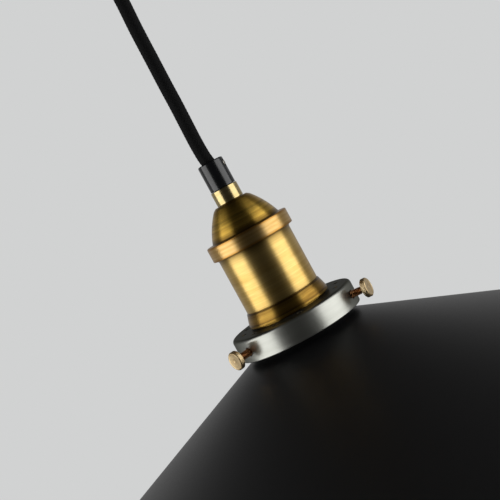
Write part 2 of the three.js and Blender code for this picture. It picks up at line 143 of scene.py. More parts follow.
def lathe(name, corners, fillet=0.25, sides=128, relief=None, steps=3, turn=None, lift=0):
    points, closed = rounded(corners, fillet, steps)
    build = bmesh.new()
    rings = []
    for radius, height in points:
        if radius < 1e-6:
            rings.append([build.verts.new((0, 0, height + lift))] * sides)
            continue
        ring = []
        for side in range(sides):
            angle = 2 * math.pi * side / sides
            reach = radius + (relief(radius, height, angle) if relief else 0)
            ring.append(build.verts.new((reach * math.cos(angle), reach * math.sin(angle), height + lift)))
        rings.append(ring)
    pairs = zip(rings, rings[1:] + rings[:1]) if closed else zip(rings, rings[1:])
    for low, high in pairs:
        for side in range(sides):
            near = (side + 1) % sides
            quad = dict.fromkeys((low[side], low[near], high[near], high[side]))
            if len(quad) > 2:
                build.faces.new(tuple(quad))
    return newPiece(name, build, turn)


def cutAway(piece, cutters):
    for cutter in cutters:
        tool = piece.modifiers.new("cut", "BOOLEAN")
        tool.operation, tool.solver, tool.object = "DIFFERENCE", "EXACT", cutter
        graph = bpy.context.evaluated_depsgraph_get()
        mesh = bpy.data.meshes.new_from_object(piece.evaluated_get(graph))
        piece.modifiers.remove(tool)
        piece.data = mesh
        bpy.data.objects.remove(cutter)
    sharpenEdges(piece)
    return piece


def sharpenEdges(piece, limit=40):
    build = bmesh.new()
    build.from_mesh(piece.data)
    for edge in build.edges:
        edge.smooth = not (len(edge.link_faces) == 2 and edge.calc_face_angle() > math.radians(limit))
    build.to_mesh(piece.data)
    build.free()
    return piece


def bar(name, size, turn):
    build = bmesh.new()
    bmesh.ops.create_cube(build, size=1)
    bmesh.ops.scale(build, vec=size, verts=build.verts)
    return newPiece(name, build, turn)


def place(x=0, y=0, z=0, turnX=0, turnY=0, turnZ=0):
    turns = Matrix.Rotation(turnZ, 4, "Z") @ Matrix.Rotation(turnY, 4, "Y") @ Matrix.Rotation(turnX, 4, "X")
    return Matrix.Translation((x, y, z)) @ turns


def moveTo(piece, turn):  # puts a piece that was made at the origin at a place given in mm
    piece.matrix_world = Matrix.Translation(turn.translation * mm) @ turn.to_3x3().to_4x4()
    return piece


def run(radius, low, high, rows):  # evenly spaced profile points up a straight side
    return [(radius, low + (high - low) * row / rows, 0) for row in range(rows + 1)]


def threadRelief(depth, pitch):  # rounded right-handed thread
    def relief(radius, height, angle):
        return -depth * (0.5 + 0.5 * math.cos(2 * math.pi * height / pitch - angle))
    return relief


def only(relief, where):  # keeps a relief to the stretch where a test of radius and height holds
    return lambda radius, height, angle: relief(radius, height, angle) if where(radius, height) else 0


# materials
def linear(hexText):
    parts = [int(hexText[k:k + 2], 16) / 255 for k in (1, 3, 5)]
    return [p / 12.92 if p <= 0.04045 else ((p + 0.055) / 1.055) ** 2.4 for p in parts] + [1.0]


def addNode(tree, kind, inputs=None, **settings):
    node = tree.nodes.new(kind)
    for name, value in settings.items():
        setattr(node, name, value)
    for key, value in (inputs or {}).items():
        if isinstance(value, bpy.types.NodeSocket):
            tree.links.new(value, node.inputs[key])
        else:
            node.inputs[key].default_value = value
    return node


def startMaterial(name, **fixed):
    material = bpy.data.materials.new(name)
    material.use_nodes = True
    tree = material.node_tree
    tree.nodes.clear()
    shader = addNode(tree, "ShaderNodeBsdfPrincipled", fixed)
    addNode(tree, "ShaderNodeOutputMaterial", {"Surface": shader.outputs[0]})
    coords = addNode(tree, "ShaderNodeTexCoord").outputs["Object"]
    return material, tree, shader, coords


def blendColours(tree, factor, first, second):
    mix = addNode(tree, "ShaderNodeMix", {0: factor}, data_type="RGBA")
    for socket, value in ((6, first), (7, second)):
        if isinstance(value, bpy.types.NodeSocket):
            tree.links.new(value, mix.inputs[socket])
        else:
            mix.inputs[socket].default_value = linear(value)
    return mix.outputs[2]


def remap(tree, value, low, high, newLow, newHigh):
    node = addNode(tree, "ShaderNodeMapRange", {0: value, 1: low, 2: high, 3: newLow, 4: newHigh})
    return node.outputs[0]


def stainAndShadeByHeight(tree, height, stainAndShadeBands):  # (height against the lamp grip's mouth in mm, share of stain or painted shade)
    levels = sorted(stainAndShadeBands)
    low, high = levels[0][0], levels[-1][0]
    ends = [(lampMouth + level) * mm for level in (low, high)]
    node = addNode(tree, "ShaderNodeValToRGB", {0: remap(tree, height, *ends, 0.0, 1.0)})
    stops = node.color_ramp.elements
    for level, share in levels[1:-1]:
        stops.new((level - low) / (high - low)).color = (share, share, share, 1)
    for stop, share in ((stops[0], levels[0][1]), (stops[-1], levels[-1][1])):
        stop.color = (share, share, share, 1)
    return node.outputs[0]


noiseSpan = (0.3, 0.7)  # most of a noise texture's values lie between these
tarnishSpan = (1.1, 1.9)  # and most of twice the bands plus the clouds between these


# Turned and brushed metal: fine rings round the axis, wider bands, and a faint cloudy tarnish.
# The rings are drawn about twice as coarse as real so that they show.
ringDrift = {"width": 14, "reach": 1.4}  # mm: a slow wander that keeps the rings from being perfect
toolMarkDepth = 0.02  # mm


def turnedMetal(name, spec):
    material, tree, shader, coords = startMaterial(name, **{
        "Metallic": 1.0, "Anisotropic": spec.get("anisotropic", 0.0), "Anisotropic Rotation": 0.25,
        "Specular Tint": linear(spec.get("edgeTint", "#FFFFFF"))})
    parts = addNode(tree, "ShaderNodeSeparateXYZ", {0: coords})
    flat = addNode(tree, "ShaderNodeCombineXYZ", {0: parts.outputs[0], 1: parts.outputs[1]})
    radius = addNode(tree, "ShaderNodeVectorMath", {0: flat.outputs[0]},
                     operation="LENGTH").outputs["Value"]
    drift = addNode(tree, "ShaderNodeTexNoise", {"Vector": coords, "Detail": 1.0,
                                                   "Scale": 1 / (ringDrift["width"] * mm)})
    wander = addNode(tree, "ShaderNodeMath", {0: drift.outputs[0], 1: ringDrift["reach"] * mm},
                     operation="MULTIPLY")
    ringed = addNode(tree, "ShaderNodeCombineXYZ", {0: radius, 1: parts.outputs[2], 2: wander.outputs[0]})
    lines = addNode(tree, "ShaderNodeTexNoise", {
        "Vector": ringed.outputs[0], "Scale": 1 / (spec["lineWidth"] * mm), "Detail": 3.0,
        "Roughness": 0.65})
    bands = addNode(tree, "ShaderNodeTexNoise", {
        "Vector": ringed.outputs[0], "Scale": 1 / (spec["bandWidth"] * mm), "Detail": 1.0})
    clouds = addNode(tree, "ShaderNodeTexNoise", {
        "Vector": coords, "Scale": 1 / (spec["cloudWidth"] * mm), "Detail": 2.0, "Roughness": 0.5})
    tarnish = addNode(tree, "ShaderNodeMath", {0: bands.outputs[0], 1: 2.0, 2: clouds.outputs[0]},
                      operation="MULTIPLY_ADD")
    amount = remap(tree, tarnish.outputs[0], *tarnishSpan, 0.0, spec["tarnish"])
    ground = blendColours(tree, amount, spec["bright"], spec["dull"])
    streaks = remap(tree, lines.outputs[0], *noiseSpan, 0.0, spec["streak"])
    shade = blendColours(tree, streaks, ground, spec["dark"])
    # bands darker by height: real stain on some parts, painted shade in creases and under overhangs on
    # others
    if "stainAndShadeBands" in spec:
        shade = blendColours(tree, stainAndShadeByHeight(tree, parts.outputs[2], spec["stainAndShadeBands"]), shade,
                             spec["stainAndShadeColour"])
    rough = remap(tree, lines.outputs[0], *noiseSpan, spec["smooth"], spec["rough"])
    bump = addNode(tree, "ShaderNodeBump", {
        "Height": lines.outputs[0], "Strength": spec["bump"], "Distance": toolMarkDepth * mm})
    for key, socket in (("Base Color", shade), ("Roughness", rough), ("Normal", bump.outputs[0])):
        tree.links.new(socket, shader.inputs[key])
    return material


# Paint, plastic, porcelain and the like: a grain, a cloudy change of tone and a fine surface relief.
def coatedSurface(name, spec, **fixed):
    material, tree, shader, coords = startMaterial(name, **fixed)
    grain = addNode(tree, "ShaderNodeTexNoise", {
        "Vector": coords, "Scale": 1 / (spec["grain"] * mm), "Detail": 3.0, "Roughness": 0.6})
    clouds = addNode(tree, "ShaderNodeTexNoise", {
        "Vector": coords, "Scale": 1 / (spec["clouds"] * mm), "Detail": 4.0, "Roughness": 0.55})
    tone = remap(tree, clouds.outputs[0], *noiseSpan, 0.0, 1.0)
    ground = blendColours(tree, tone, spec["colour"], spec["second"])
    specks = remap(tree, grain.outputs[0], 0.35, 0.75, 0.0, spec["speckle"])
    shade = blendColours(tree, specks, ground, spec["third"])
    rough = remap(tree, grain.outputs[0], *noiseSpan, spec["smooth"], spec["rough"])
    bump = addNode(tree, "ShaderNodeBump", {
        "Height": grain.outputs[0], "Strength": spec["bump"], "Distance": spec["relief"] * mm})
    for key, socket in (("Base Color", shade), ("Roughness", rough), ("Normal", bump.outputs[0])):
        tree.links.new(socket, shader.inputs[key])
    return material


metalSpecs = {
    # brushed brass under thin lacquer, the long barrel: warm yellow, darker under the ring and in the
    # crease above the skirt, partly patina and partly painted shade
    "antiqueBrass": {"bright": "#E2C278", "dull": "#CEA85A", "dark": "#86601F", "lineWidth": 0.45,
                     "bandWidth": 2.6, "cloudWidth": 12, "tarnish": 0.6, "streak": 0.3, "smooth": 0.34,
                     "rough": 0.42, "anisotropic": 0.75, "bump": 0.15, "stainAndShadeColour": "#4A3412",
                     "stainAndShadeBands": [(-45.4, 0.8), (-47.2, 0.45), (-49.6, 0.08), (-52, 0), (-73, 0),
                                (-75.3, 0.2), (-76.2, 0.85)]},
    # the same brass, olive gold with brown rings, its bands painted darker by height: partly patina, partly
    # painted shade
    "domeBrass": {"bright": "#E4BC54", "dull": "#C09640", "dark": "#604616", "lineWidth": 0.45,
                  "bandWidth": 2.0, "cloudWidth": 14, "tarnish": 0.8, "streak": 0.5, "smooth": 0.26,
                  "rough": 0.38, "anisotropic": 0.75, "bump": 0.35, "stainAndShadeColour": "#4A3418",
                  "stainAndShadeBands": [(-22, 0.5), (-24.5, 0.3), (-27, 0.1), (-28.3, 0.1), (-28.9, 0.5), (-29.7, 0.3),
                             (-31, 0.05), (-34.6, 0.05), (-35.9, 0.6), (-37.5, 0.9)]},
    # the shell's skirt: a darker copy of the same brass, partly painted shade, with painted shade in the
    # lines where it creases
    "shadedSkirtBrass": {"bright": "#CEA850", "dull": "#A88038", "dark": "#604618", "lineWidth": 0.45,
                   "bandWidth": 1.6, "cloudWidth": 14, "tarnish": 0.8, "streak": 0.5, "smooth": 0.26,
                   "rough": 0.38, "anisotropic": 0.75, "bump": 0.35, "stainAndShadeColour": "#463118",
                   "stainAndShadeBands": [(-76.3, 0.9), (-77.3, 0.5), (-79.2, 0.3), (-81.1, 0.4), (-81.8, 0.85),
                              (-82.3, 0.1), (-83.3, 0)]},
    # turned brass with more copper in it, orange along its edges
    "ringBrass": {"bright": "#E2C080", "dull": "#C8A050", "dark": "#7A4C1C", "lineWidth": 0.4,
                  "bandWidth": 2.0, "cloudWidth": 12, "tarnish": 0.7, "streak": 0.35, "smooth": 0.34,
                  "rough": 0.42, "anisotropic": 0.75, "bump": 0.25, "stainAndShadeColour": "#A4702A",
                  "stainAndShadeBands": [(-37.7, 0.75), (-38.5, 0.6), (-39.3, 0.1), (-43.8, 0.1), (-44.6, 0.6),
                             (-45.4, 0.75)]},
    # polished lacquered brass: pale gold with clean edges
    "paleBrass": {"bright": "#CDBB88", "dull": "#A8925C", "dark": "#6E5830", "lineWidth": 0.3,
                  "bandWidth": 2.4, "cloudWidth": 5, "tarnish": 0.5, "streak": 0.2, "smooth": 0.18,
                  "rough": 0.26, "bump": 0.06},
    # satin pewter plate: warm grey, very finely blasted, its top face painted darker: painted shade
    "pewter": {"bright": "#ACADA6", "dull": "#9C9D95", "dark": "#76766F", "lineWidth": 0.3,
               "bandWidth": 3.0, "cloudWidth": 14, "tarnish": 0.5, "streak": 0.12, "smooth": 0.28,
               "rough": 0.34, "bump": 0.1, "edgeTint": "#8A8A88", "stainAndShadeColour": "#74746F",
               "stainAndShadeBands": [(-84, 0.9), (-84.2, 0.75), (-85.6, 0)]},
    # turned brass screws: champagne gold with tool rings
    "turnedBrass": {"bright": "#EAD3A6", "dull": "#CBA874", "dark": "#7E5A34", "lineWidth": 0.22,
                    "bandWidth": 1.2, "cloudWidth": 3, "tarnish": 0.6, "streak": 0.3, "smooth": 0.3,
                    "rough": 0.42, "bump": 0.3},
    # the same screws' threads, left with their copper wash
    "copperWash": {"bright": "#C98F5E", "dull": "#96603A", "dark": "#4E2C16", "lineWidth": 0.25,
                   "bandWidth": 1.2, "cloudWidth": 2, "tarnish": 0.8, "streak": 0.3, "smooth": 0.24,
                   "rough": 0.36, "bump": 0.2},
    # nickel plate: smooth, bright and slightly yellow
    "nickelPlate": {"bright": "#D9D4C8", "dull": "#B6B1A6", "dark": "#77736B", "lineWidth": 0.3,
                    "bandWidth": 2.0, "cloudWidth": 5, "tarnish": 0.5, "streak": 0.2, "smooth": 0.14,
                    "rough": 0.26, "bump": 0.2},
    # zinc plate: dull bluish grey with a cloudy bloom
    "zincPlate": {"bright": "#C3C6C9", "dull": "#9DA1A6", "dark": "#6E7072", "lineWidth": 0.5,
                  "bandWidth": 4.0, "cloudWidth": 2.5, "tarnish": 0.8, "streak": 0.3, "smooth": 0.3,
                  "rough": 0.46, "bump": 0.3},
    # drawn tungsten: dark grey with a dry shine
    "tungstenWire": {"bright": "#9A928A", "dull": "#746D66", "dark": "#4A4641", "lineWidth": 0.2,
                     "bandWidth": 1.0, "cloudWidth": 1.5, "tarnish": 0.6, "streak": 0.3, "smooth": 0.3,
                     "rough": 0.45, "bump": 0.2},
}
finishes = {name: turnedMetal(name, spec) for name, spec in metalSpecs.items()}

coatSpecs = {
    # powder coat: a soft orange peel, drawn about twice as coarse as real so that it shows
    "blackPowderCoat": ({"colour": "#030304", "second": "#050506", "third": "#0A0A0B", "grain": 0.5,
                         "clouds": 18, "speckle": 0.5, "smooth": 0.36, "rough": 0.46, "bump": 0.25,
                         "relief": 0.05},
                        {"Specular IOR Level": 0.8}),
    # enamel sprayed inside the shade: soft white, hardly shiny
    "whiteEnamel": ({"colour": "#E9E7E1", "second": "#E2DFD8", "third": "#D6D3CB", "grain": 0.7,
                     "clouds": 22, "speckle": 0.3, "smooth": 0.34, "rough": 0.46, "bump": 0.25,
                     "relief": 0.05}, {}),
    # moulded grip: satin black with a blue cast and a fine spark-eroded grain
    "satinBlackGrip": ({"colour": "#090A0C", "second": "#0C0D10", "third": "#16181B", "grain": 0.25,
                        "clouds": 5, "speckle": 0.35, "smooth": 0.18, "rough": 0.24, "bump": 0.05,
                        "relief": 0.015}, {"IOR": 1.6}),
    # glazed porcelain: ivory under a wet-looking glaze
    "glazedPorcelain": ({"colour": "#EFEBE1", "second": "#E6E1D5", "third": "#D8D2C4", "grain": 1.2,
                         "clouds": 9, "speckle": 0.25, "smooth": 0.12, "rough": 0.22, "bump": 0.2,
                         "relief": 0.05},
                        {"Coat Weight": 0.4}),
    # moulded nylon without pigment: milky and waxy
    "naturalNylon": ({"colour": "#E6E4DC", "second": "#DDDAD0", "third": "#CBC8BE", "grain": 0.4,
                      "clouds": 5, "speckle": 0.3, "smooth": 0.4, "rough": 0.55, "bump": 0.3,
                      "relief": 0.03}, {}),
    # pressed black glass between the bulb's contacts: deep black with a sharp glint
    "blackGlass": ({"colour": "#0D0D10", "second": "#15151A", "third": "#1E1E24", "grain": 0.6, "clouds": 4,
                    "speckle": 0.3, "smooth": 0.08, "rough": 0.18, "bump": 0.1, "relief": 0.03},
                    {"IOR": 1.52}),
    # extruded insulation of the three cores: plain colours with a soft shine, the earth's two-coloured
    "brownInsulation": ({"colour": "#6B3F22", "second": "#5C341B", "third": "#7A4C2C", "grain": 0.3,
                         "clouds": 3, "speckle": 0.3, "smooth": 0.34, "rough": 0.5, "bump": 0.2,
                         "relief": 0.02}, {}),
    "blueInsulation": ({"colour": "#2A5DA8", "second": "#23509A", "third": "#3B6DB4", "grain": 0.3,
                        "clouds": 3, "speckle": 0.3, "smooth": 0.34, "rough": 0.5, "bump": 0.2,
                        "relief": 0.02}, {}),
    "greenInsulation": ({"colour": "#5E9238", "second": "#C9C23A", "third": "#6FA246", "grain": 0.3,
                         "clouds": 3, "speckle": 0.3, "smooth": 0.34, "rough": 0.5, "bump": 0.2,
                         "relief": 0.02}, {}),
}
for name, (spec, fixed) in coatSpecs.items():
    finishes[name] = coatedSurface(name, spec, **fixed)


# Blown soda-lime glass: clear, with a faint waviness.
glassSpec = {"tint": "#FBF8F0", "waveWidth": 9, "waveDepth": 0.2, "bump": 0.25, "rough": 0.03}


def blownGlass(name, spec):
    material, tree, shader, coords = startMaterial(name, **{
        "Base Color": linear(spec["tint"]), "Transmission Weight": 1.0, "IOR": 1.5, "Roughness": 0.0})
    waves = addNode(tree, "ShaderNodeTexNoise", {
        "Vector": coords, "Scale": 1 / (spec["waveWidth"] * mm), "Detail": 1.0})
    bump = addNode(tree, "ShaderNodeBump", {
        "Height": waves.outputs[0], "Strength": spec["bump"], "Distance": spec["waveDepth"] * mm})
    rough = remap(tree, waves.outputs[0], *noiseSpan, 0.0, spec["rough"])
    tree.links.new(bump.outputs[0], shader.inputs["Normal"])
    tree.links.new(rough, shader.inputs["Roughness"])
    return material


finishes["clearGlass"] = blownGlass("clearGlass", glassSpec)

# braided flex: matte black polyester, finely checked where its bundles of yarn cross
braid = {
    "radius": 3.6,
    "strands": 16,  # bundles in each direction round the cord
    "cellLength": 1.9,  # mm along the cord from one crossing to the next
    "relief": 0.22,
    "sides": 96,
    "step": 0.3,
    "yarns": 4,  # yarns side by side in a bundle
    # the yarns' crests are painted lighter than the hollows between them: painted shade in the weave
    "colour": "#040404", "paintedCrestLight": "#0E0E0F",
    "fuzz": 0.25,  # mm, the yarns' loose fibres
    "smooth": 0.62, "rough": 0.82, "bump": 0.6, "yarnRelief": 0.06,
}


def braidMaterial(spec):
    material, tree, shader, coords = startMaterial("blackBraid", **{
        "Sheen Weight": 0.015, "Sheen Roughness": 0.5, "Specular IOR Level": 0.12})
    uv = addNode(tree, "ShaderNodeUVMap", uv_map="along")
    side = addNode(tree, "ShaderNodeAttribute", attribute_name="strandSide").outputs["Fac"]
    ridges = []
    for sign in (1, -1):
        parts = addNode(tree, "ShaderNodeSeparateXYZ", {0: uv.outputs[0]})
        slanted = addNode(tree, "ShaderNodeMath", {0: parts.outputs[1], 1: sign, 2: parts.outputs[0]},
                          operation="MULTIPLY_ADD")
        turns = addNode(tree, "ShaderNodeMath", {0: slanted.outputs[0], 1: 2 * math.pi * spec["yarns"]},
                        operation="MULTIPLY")
        ridges.append(addNode(tree, "ShaderNodeMath", {0: turns.outputs[0]}, operation="COSINE").outputs[0])
    mix = addNode(tree, "ShaderNodeMix", {0: side, 2: ridges[0], 3: ridges[1]},
                  data_type="FLOAT").outputs[0]
    fuzz = addNode(tree, "ShaderNodeTexNoise", {"Vector": coords, "Detail": 3.0,
                                                  "Scale": 1 / (spec["fuzz"] * mm)})
    height = addNode(tree, "ShaderNodeMath", {0: mix, 1: 0.5, 2: fuzz.outputs[0]}, operation="MULTIPLY_ADD")
    # colour follows the weave's height: painted shade in the hollows, lighter crests
    tone = remap(tree, height.outputs[0], 0.0, 1.1, 0.0, 1.0)
    shade = blendColours(tree, tone, spec["colour"], spec["paintedCrestLight"])
    rough = remap(tree, fuzz.outputs[0], *noiseSpan, spec["smooth"], spec["rough"])
    bump = addNode(tree, "ShaderNodeBump", {
        "Height": height.outputs[0], "Strength": spec["bump"], "Distance": spec["yarnRelief"] * mm})
    for key, socket in (("Base Color", shade), ("Roughness", rough), ("Normal", bump.outputs[0])):
        tree.links.new(socket, shader.inputs[key])
    return material


finishes["blackBraid"] = braidMaterial(braid)


def smoothPath(points, step):  # a smooth curve through the points
    knots = [Vector(point) for point in points]
    ends = [knots[0] * 2 - knots[1]] + knots + [knots[-1] * 2 - knots[-2]]
    path = []
    for index in range(len(ends) - 3):
        before, start, end, after = ends[index:index + 4]
        count = max(1, round((end - start).length / step))
        for part in range(count):
            t = part / count
            path.append(0.5 * ((2 * start) + (end - before) * t
                               + (2 * before - 5 * start + 4 * end - after) * t * t
                               + (3 * start - before - 3 * end + after) * t ** 3))
    return path + [knots[-1]]


def braidedTube(name, points, spec):
    path = smoothPath(points, spec["step"])
    sides, strands = spec["sides"], spec["strands"]
    build = bmesh.new()
    uvLayer = build.loops.layers.uv.new("along")
    sideLayer = build.verts.layers.float.new("strandSide")
    rings, lengths = [], []
    travelled = 0.0
    for index, here in enumerate(path):
        if index:
            travelled += (here - path[index - 1]).length
        ahead = (path[min(index + 1, len(path) - 1)] - path[max(index - 1, 0)]).normalized()
        across = Vector((1, 0, 0)) - ahead * ahead.x
        across.normalize()
        other = ahead.cross(across)
        ring = []
        for side in range(sides):
            turn = side / sides
            first = strands * turn + travelled / spec["cellLength"]
            second = strands * turn - travelled / spec["cellLength"]
            over = (math.floor(first) + math.floor(second)) % 2
            bulge = math.sin(math.pi * ((first if over else second) % 1)) ** 0.5
            weave = math.sin(math.pi * ((second if over else first) % 1))
            reach = spec["radius"] - spec["relief"] * (1 - bulge * (0.55 + 0.45 * weave))
            angle = 2 * math.pi * turn
            vert = build.verts.new(here + (across * math.cos(angle) + other * math.sin(angle)) * reach)
            vert[sideLayer] = over
            ring.append(vert)
        rings.append(ring)
        lengths.append(travelled)
    for index in range(len(rings) - 1):
        for side in range(sides):
            near = (side + 1) % sides
            face = build.faces.new((rings[index][side], rings[index][near], rings[index + 1][near],
                                    rings[index + 1][side]))
            ends = ((side, index), (side + 1, index), (side + 1, index + 1), (side, index + 1))
            for loop, (column, row) in zip(face.loops, ends):
                loop[uvLayer].uv = (strands * column / sides, lengths[row] / spec["cellLength"])
    build.faces.new(rings[0])
    build.faces.new(rings[-1][::-1])
    piece = newPiece(name, build)
    piece.data.materials.append(finishes["blackBraid"])
    return piece, [tuple(point * mm) for point in path[::12] + [path[-1]]]


def attach(piece, body, slot, *nodes):
    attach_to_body(piece, body)
    if nodes:
        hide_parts(*nodes)
    return piece


flexTop, flexLow = zOf("flex", 1), zOf("flex", 0)
flexHold = {
    "inCeiling": 9,  # mm of flex above the mouth of the ceiling's grip
    "bend": 15,  # mm of flex below it that bend as the lamp swings
    "inLamp": 0.9,
    "tiltGap": 0.4,  # keeps the end in the lamp's grip clear of the flex
    "step": 8,
}
mouthShift = -0.7  # mm, how far to one side the flex goes into the lamp's grip
# the flex's slight waves: sideways, back, and the share of its length from the top
flexWaves = [
    (0, 0, 0), (0, 0, 0.05), (0.3, 0.2, 0.13), (0.2, 0.5, 0.25), (-0.4, 0.6, 0.37), (-0.7, 0.3, 0.53),
    (-0.9, -0.2, 0.63), (-0.95, -0.5, 0.72), (-1.15, -0.5, 0.8), (-1.4, -0.2, 0.89), (-1.25, 0, 0.96),
    (mouthShift, 0, 1),
]


def makeFlex():
    hold = flexHold
    route = [(0, 0, flexTop + hold["inCeiling"])]
    route += [(x, y, flexTop + (flexLow - flexTop) * share) for x, y, share in flexWaves]
    route.append((mouthShift, 0, lampMouth - hold["inLamp"]))
    route.reverse()
    flex, path = braidedTube("braidedFlex", route, braid)
    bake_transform(flex)
    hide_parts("flex")
    length = sum((Vector(a) - Vector(b)).length for a, b in zip(path, path[1:]))
    print("flex", round(length, 4))
    low, high = zOf("flex_lamp_end", 0), zOf("flex_lamp_end", 1) - hold["tiltGap"]
    end, _ = braidedTube("flexEndInLamp", [(0, 0, high), (0, 0, (low + high) / 2), (0, 0, low)], braid)
    attach(end, "lamp", "black_braid", "flex_lamp_end")
    high = zOf("flex_ceiling_end", 1)
    route = [(0, 0, high - index * hold["step"]) for index in range(3)]
    end, _ = braidedTube("flexEndInCanopy", route, braid)
    attach(end, "ceiling_mount", "black_braid", "flex_ceiling_end")


makeFlex()
print("flex made")

# ceiling end
canopySize = {"radius": 50, "depth": 30, "sheet": 1, "hole": 5.3, "screwDepth": 9, "screwHole": 2.3,
              "earthScrew": (-14.5, 0, -2.9), "blockScrew": (4.5, 0, -13.6)}
nippleSize = {"radius": 4.9, "bore": 4, "pitch": 1.0}
gripSize = {"radius": 6.75, "height": 14.3, "mouth": 4.5, "mouthDepth": 5.5, "edge": 1.82, "thread": 5.2,
            "grubDepth": 3.5, "grub": 1.45}


def finished(piece, finish):
    piece.data.materials.clear()
    piece.data.materials.append(finishes[finish])
    return evenNormals(piece)


screwSizes = {  # radius and height of the head, radius and length of the shank, width of the slot
    "canopy": (3.6, 2.1, 1.9, 6.4, 0.8),
    "earth": (3.4, 2, 1.9, 2.5, 0.8),
    "block": (2.6, 1.6, 1.2, 13.1, 0.6),
    "terminal": (2.8, 1.7, 1.2, 4.4, 0.6),
}
screwThread = {"depth": 0.16, "pitch": 0.7}


def slottedScrew(name, kind, turn):
    head, headHeight, shank, length, slot = screwSizes[kind]
    screw = lathe(name, [
        (0, -length), (shank, -length, 0.3), *run(shank, -length + 0.4, -0.5, max(2, int(length * 5))),
        (shank, 0, 0.1), (head, 0, 0.2), (head, headHeight * 0.55, headHeight * 0.4),
        (head * 0.75, headHeight, headHeight * 0.3), (0, headHeight),
    ], sides=48, relief=only(threadRelief(**screwThread),
                             lambda radius, height: height < -0.35 and radius > 0.5))
    cutAway(screw, [bar("slotCutter", (head * 3, slot, headHeight), place(z=headHeight))])
    return moveTo(screw, turn)


def threadedTube(name, spec, low, high):
    return lathe(name, [
        (spec["bore"], low), (spec["radius"], low, 0.3),
        *run(spec["radius"], low + 0.4, high - 0.4, int((high - low) * 6)), (spec["radius"], high, 0.3),
        (spec["bore"], high),
    ], fillet=0.15, sides=64,
        relief=only(threadRelief(0.45, spec["pitch"]), lambda radius, height: radius > spec["bore"] + 0.5))


def cordGrip(name, spec, turn):
    grip = lathe(name, [
        (spec["thread"], -spec["height"]), (spec["radius"], -spec["height"], 0.35),
        (spec["radius"], 0, spec["edge"]), (spec["mouth"], 0, 0.5),
        (spec["mouth"], -spec["mouthDepth"], 0.1), (spec["thread"], -spec["mouthDepth"], 0.1),
    ], sides=144, steps=8)
    hole, face = spec["grub"] + 0.3, spec["radius"]
    cutter = lathe("grubCutter", [
        (0, 2), (hole, 2), (hole, face - 0.25, 0), (spec["grub"] + 0.8, face + 0.3, 0), (0, face + 0.3),
    ], 0, 48, turn=place(z=-spec["grubDepth"], turnY=math.pi / 2))
    return moveTo(cutAway(grip, [cutter]), turn)


def grubScrew(name, spec, turn):
    inside = place(x=spec["radius"] - 2, z=-spec["grubDepth"], turnY=math.pi / 2)
    screw = lathe(name, [(0, 0), (spec["grub"], 0, 0.1), *run(spec["grub"], 0.2, 1.9, 10),
                         (spec["grub"] - 0.3, 2.2, 0.1), (0, 2.2)], sides=48,
                  relief=only(threadRelief(0.12, 0.5), lambda radius, height: radius > 1.3))
    cutAway(screw, [bar("slotCutter", (4, 0.55, 1.3), place(z=2.2))])
    return moveTo(screw, turn @ inside)


def makeCeilingEnd():
    size = canopySize
    wall = size["radius"] - size["sheet"]
    canopy = lathe("ceilingCanopy", [
        (size["hole"], -size["depth"], 0.2), (size["radius"], -size["depth"], 5.2),
        (size["radius"], -0.4, 0.35), (wall, -0.4, 0.35), (wall, -size["depth"] + size["sheet"], 4.2),
        (size["hole"], -size["depth"] + size["sheet"], 0.2),
    ], sides=160, steps=10)
    hole, near, far = size["screwHole"], size["radius"] - 6, size["radius"] + 6
    drill = [lathe("holeCutter", [(0, near), (hole, near, 0), (hole, far, 0), (0, far)], 0, 40,
                   turn=place(z=-size["screwDepth"], turnY=side * math.pi / 2)) for side in (-1, 1)]
    cutAway(canopy, drill)
    attach(finished(canopy, "blackPowderCoat"), "ceiling_mount", "black_metal", "ceiling_canopy")
    for index, side in enumerate((-1, 1), 1):
        turn = place(x=side * (size["radius"] + 0.15), z=-size["screwDepth"], turnY=side * math.pi / 2)
        screw = slottedScrew(f"canopyScrew{index}", "canopy", turn)
        attach(finished(screw, "blackPowderCoat"), "ceiling_mount", "black_metal", f"canopy_screw_{index}")
    low, high = zOf("canopy_nipple", 0), zOf("canopy_nipple", 1)
    nipple = threadedTube("canopyNipple", nippleSize, low, high)
    attach(finished(nipple, "zincPlate"), "ceiling_mount", "zinc_steel", "canopy_nipple")
    upturned = place(z=ceilingMouth, turnX=math.pi)
    grip = cordGrip("ceilingCordGrip", gripSize, upturned)
    attach(finished(grip, "satinBlackGrip"), "ceiling_mount", "black_grip", "ceiling_cord_grip")
    screw = grubScrew("ceilingGripScrew", gripSize, upturned)
    attach(finished(screw, "nickelPlate"), "ceiling_mount", "nickel", "ceiling_grip_screw")
    earth = slottedScrew("earthScrew", "earth", place(*canopySize["earthScrew"], turnX=math.pi))
    attach(finished(earth, "turnedBrass"), "ceiling_mount", "screw_brass", "earth_screw")
    holding = slottedScrew("terminalBlockScrew", "block", place(*canopySize["blockScrew"], turnX=math.pi))
    attach(finished(holding, "zincPlate"), "ceiling_mount", "zinc_steel", "terminal_block_screw")


makeCeilingEnd()
print("ceiling end made")

# lampholder, in heights below the mouth of its cord grip
holderSize = {
    "collar": (7.1, -14.4, -21.9),  # radius, top and foot
    "domeTop": -22.0, "domeLow": -37.5, "domeTopRadius": 8.7,
    "domeArc": 45.8, "domeArcR": -24.4, "domeArcZ": -53.05,  # radius and centre of the dome's arc
    "flangeDepth": 2.4, "flangeHeight": 0.9, "flangeBore": 17.7,  # the dome's foot, held by the ring nut
    "ring": (22.25, -37.7, -45.4), "ringThread": 21, "ringBore": 19.15,
    "shell": 19.8, "shellLow": -76.2, "shellTop": -40.3, "shellBore": 18.9, "shoulder": 20.6,
    "skirt": 22, "skirtLow": -83.3, "skirtBore": 19.6,
    "sheet": 0.9, "nipple": 5.2,
    "grubTurn": -20,
}


def domeCurve(spec, inset, fromZ, toZ, rows):
    reach = spec["domeArc"] - inset
    heights = [fromZ + (toZ - fromZ) * row / rows for row in range(rows + 1)]
    return [(spec["domeArcR"] + math.sqrt(reach ** 2 - (z - spec["domeArcZ"]) ** 2), z, 0) for z in heights]


